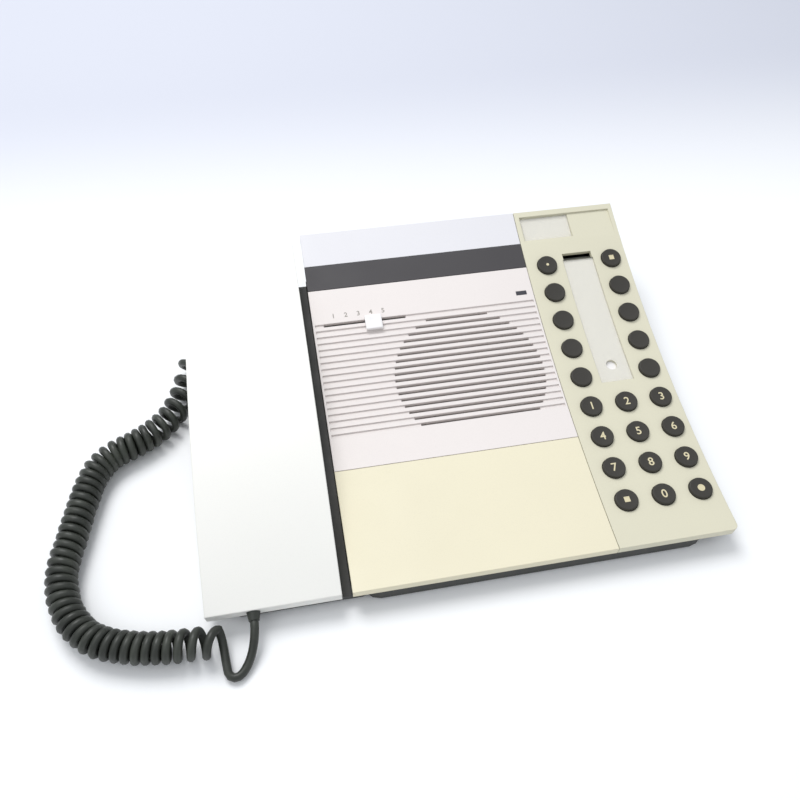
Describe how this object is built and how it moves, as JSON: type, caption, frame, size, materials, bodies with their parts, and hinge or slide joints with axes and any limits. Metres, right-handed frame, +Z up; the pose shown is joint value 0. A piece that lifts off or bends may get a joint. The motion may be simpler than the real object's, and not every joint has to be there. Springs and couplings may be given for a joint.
{
  "type": "desk intercom",
  "caption": "Low desk intercom with a dished top, round keys, a slotted loudspeaker cover, a volume slider and a flat handset on a curly cord.",
  "frame": {"origin": "on the table under the middle of the object, without its curly cord", "axes": "+X to the user's right, +Y to the back, +Z up"},
  "size_m": [0.334, 0.2378, 0.0495],
  "materials": {
    "tray_plastic": "fine matte",
    "rear_plastic": "satin",
    "grille_plastic": "satin",
    "front_plastic": "satin",
    "keypad_plastic": "satin",
    "handset_plastic": "satin gloss",
    "window_plastic": "smoked",
    "lens_plastic": "clear",
    "card": "printed card",
    "lamp_plastic": "smoked",
    "key_plastic": "satin",
    "board": "lacquered",
    "chips": "matte",
    "speaker_steel": "zinc plated",
    "cone_paper": "paper cone",
    "magnet": "sintered",
    "cloth": "woven",
    "mat_rubber": "matte",
    "coil_steel": "laminated",
    "switch_plastic": "matte",
    "screw_steel": "zinc plated",
    "feet_rubber": "matte",
    "cord_rubber": "satin",
    "plunger_plastic": "satin",
    "capsule_metal": "satin"
  },
  "bodies": {
    "base": {"base_tray": "tray_plastic", "cradle_deck": "tray_plastic", "rear_cover": "rear_plastic", "grille_cover": "grille_plastic", "front_panel": "front_plastic", "keypad_cover": "keypad_plastic", "display_window": "window_plastic", "lamp_board": "board", "label_lens": "lens_plastic", "index_lens": "lens_plastic", "name_cards": "card", "call_lamp": "lamp_plastic", "speaker_frame": "speaker_steel", "speaker_cone": "cone_paper", "speaker_magnet": "magnet", "speaker_cloth": "cloth", "mic_capsule": "capsule_metal", "key_mats": "mat_rubber", "key_boards": "board", "main_board": "board", "board_parts": "chips", "line_transformer": "coil_steel", "volume_slider": "switch_plastic", "hook_switch": "switch_plastic", "case_screws": "screw_steel", "rubber_feet": "feet_rubber", "line_bush": "feet_rubber", "cord_bush": "cord_rubber", "curly_cord": "cord_rubber"},
    "handset": {"handset_upper": "handset_plastic", "handset_lower": "handset_plastic", "receiver_capsule": "capsule_metal", "transmitter_capsule": "capsule_metal", "handset_screws": "screw_steel", "handset_bush": "cord_rubber"},
    "slider_knob": {"volume_knob": "grille_plastic"},
    "hook": {"hook_plunger": "plunger_plastic"},
    "key_m": {"key_m": "key_plastic"},
    "key_0": {"key_0": "key_plastic"},
    "key_c": {"key_c": "key_plastic"},
    "key_7": {"key_7": "key_plastic"},
    "key_8": {"key_8": "key_plastic"},
    "key_9": {"key_9": "key_plastic"},
    "key_4": {"key_4": "key_plastic"},
    "key_5": {"key_5": "key_plastic"},
    "key_6": {"key_6": "key_plastic"},
    "key_1": {"key_1": "key_plastic"},
    "key_2": {"key_2": "key_plastic"},
    "key_3": {"key_3": "key_plastic"},
    "line_key_left_4": {"line_key_left_4": "key_plastic"},
    "line_key_right_4": {"line_key_right_4": "key_plastic"},
    "line_key_left_3": {"line_key_left_3": "key_plastic"},
    "line_key_right_3": {"line_key_right_3": "key_plastic"},
    "line_key_left_2": {"line_key_left_2": "key_plastic"},
    "line_key_right_2": {"line_key_right_2": "key_plastic"},
    "line_key_left_1": {"line_key_left_1": "key_plastic"},
    "line_key_right_1": {"line_key_right_1": "key_plastic"},
    "call_key": {"call_key": "key_plastic"},
    "hold_key": {"hold_key": "key_plastic"}
  },
  "joints": [
    {"name": "handset_lift", "type": "slide", "parent": "base", "child": "handset", "axis": [0, 0, 1], "range_m": [0, 0.06]},
    {"name": "hook_rise", "type": "slide", "parent": "base", "child": "hook", "axis": [0, 0, 1], "range_m": [0, 0.004]},
    {"name": "volume_slide", "type": "slide", "parent": "base", "child": "slider_knob", "axis": [1, 0, 0], "range_m": [-0.0215, 0.007]},
    {"name": "key_m_press", "type": "slide", "parent": "base", "child": "key_m", "axis": [0, 0.0385, -0.9993], "range_m": [0, 0.0012], "stiffness_N_per_m": 300, "springref_m": -0.002},
    {"name": "key_0_press", "type": "slide", "parent": "base", "child": "key_0", "axis": [0, 0.0385, -0.9993], "range_m": [0, 0.0012], "stiffness_N_per_m": 300, "springref_m": -0.002},
    {"name": "key_c_press", "type": "slide", "parent": "base", "child": "key_c", "axis": [0, 0.0385, -0.9993], "range_m": [0, 0.0012], "stiffness_N_per_m": 300, "springref_m": -0.002},
    {"name": "key_7_press", "type": "slide", "parent": "base", "child": "key_7", "axis": [0, 0.0682, -0.9977], "range_m": [0, 0.0012], "stiffness_N_per_m": 300, "springref_m": -0.002},
    {"name": "key_8_press", "type": "slide", "parent": "base", "child": "key_8", "axis": [0, 0.0682, -0.9977], "range_m": [0, 0.0012], "stiffness_N_per_m": 300, "springref_m": -0.002},
    {"name": "key_9_press", "type": "slide", "parent": "base", "child": "key_9", "axis": [0, 0.0682, -0.9977], "range_m": [0, 0.0012], "stiffness_N_per_m": 300, "springref_m": -0.002},
    {"name": "key_4_press", "type": "slide", "parent": "base", "child": "key_4", "axis": [0, 0.0978, -0.9952], "range_m": [0, 0.0012], "stiffness_N_per_m": 300, "springref_m": -0.002},
    {"name": "key_5_press", "type": "slide", "parent": "base", "child": "key_5", "axis": [0, 0.0978, -0.9952], "range_m": [0, 0.0012], "stiffness_N_per_m": 300, "springref_m": -0.002},
    {"name": "key_6_press", "type": "slide", "parent": "base", "child": "key_6", "axis": [0, 0.0978, -0.9952], "range_m": [0, 0.0012], "stiffness_N_per_m": 300, "springref_m": -0.002},
    {"name": "key_1_press", "type": "slide", "parent": "base", "child": "key_1", "axis": [0, 0.1273, -0.9919], "range_m": [0, 0.0012], "stiffness_N_per_m": 300, "springref_m": -0.002},
    {"name": "key_2_press", "type": "slide", "parent": "base", "child": "key_2", "axis": [0, 0.1273, -0.9919], "range_m": [0, 0.0012], "stiffness_N_per_m": 300, "springref_m": -0.002},
    {"name": "key_3_press", "type": "slide", "parent": "base", "child": "key_3", "axis": [0, 0.1273, -0.9919], "range_m": [0, 0.0012], "stiffness_N_per_m": 300, "springref_m": -0.002},
    {"name": "line_key_left_4_press", "type": "slide", "parent": "base", "child": "line_key_left_4", "axis": [0, 0.1567, -0.9876], "range_m": [0, 0.0012], "stiffness_N_per_m": 300, "springref_m": -0.002},
    {"name": "line_key_right_4_press", "type": "slide", "parent": "base", "child": "line_key_right_4", "axis": [0, 0.1567, -0.9876], "range_m": [0, 0.0012], "stiffness_N_per_m": 300, "springref_m": -0.002},
    {"name": "line_key_left_3_press", "type": "slide", "parent": "base", "child": "line_key_left_3", "axis": [0, 0.186, -0.9826], "range_m": [0, 0.0012], "stiffness_N_per_m": 300, "springref_m": -0.002},
    {"name": "line_key_right_3_press", "type": "slide", "parent": "base", "child": "line_key_right_3", "axis": [0, 0.186, -0.9826], "range_m": [0, 0.0012], "stiffness_N_per_m": 300, "springref_m": -0.002},
    {"name": "line_key_left_2_press", "type": "slide", "parent": "base", "child": "line_key_left_2", "axis": [0, 0.2151, -0.9766], "range_m": [0, 0.0012], "stiffness_N_per_m": 300, "springref_m": -0.002},
    {"name": "line_key_right_2_press", "type": "slide", "parent": "base", "child": "line_key_right_2", "axis": [0, 0.2151, -0.9766], "range_m": [0, 0.0012], "stiffness_N_per_m": 300, "springref_m": -0.002},
    {"name": "line_key_left_1_press", "type": "slide", "parent": "base", "child": "line_key_left_1", "axis": [0, 0.244, -0.9698], "range_m": [0, 0.0012], "stiffness_N_per_m": 300, "springref_m": -0.002},
    {"name": "line_key_right_1_press", "type": "slide", "parent": "base", "child": "line_key_right_1", "axis": [0, 0.244, -0.9698], "range_m": [0, 0.0012], "stiffness_N_per_m": 300, "springref_m": -0.002},
    {"name": "call_key_press", "type": "slide", "parent": "base", "child": "call_key", "axis": [0, 0.2726, -0.9621], "range_m": [0, 0.0012], "stiffness_N_per_m": 300, "springref_m": -0.002},
    {"name": "hold_key_press", "type": "slide", "parent": "base", "child": "hold_key", "axis": [0, 0.2726, -0.9621], "range_m": [0, 0.0012], "stiffness_N_per_m": 300, "springref_m": -0.002}
  ],
  "couplings": [
    {"joint": "hook_rise", "follows": "handset_lift", "ratio": 0.066667}
  ]
}
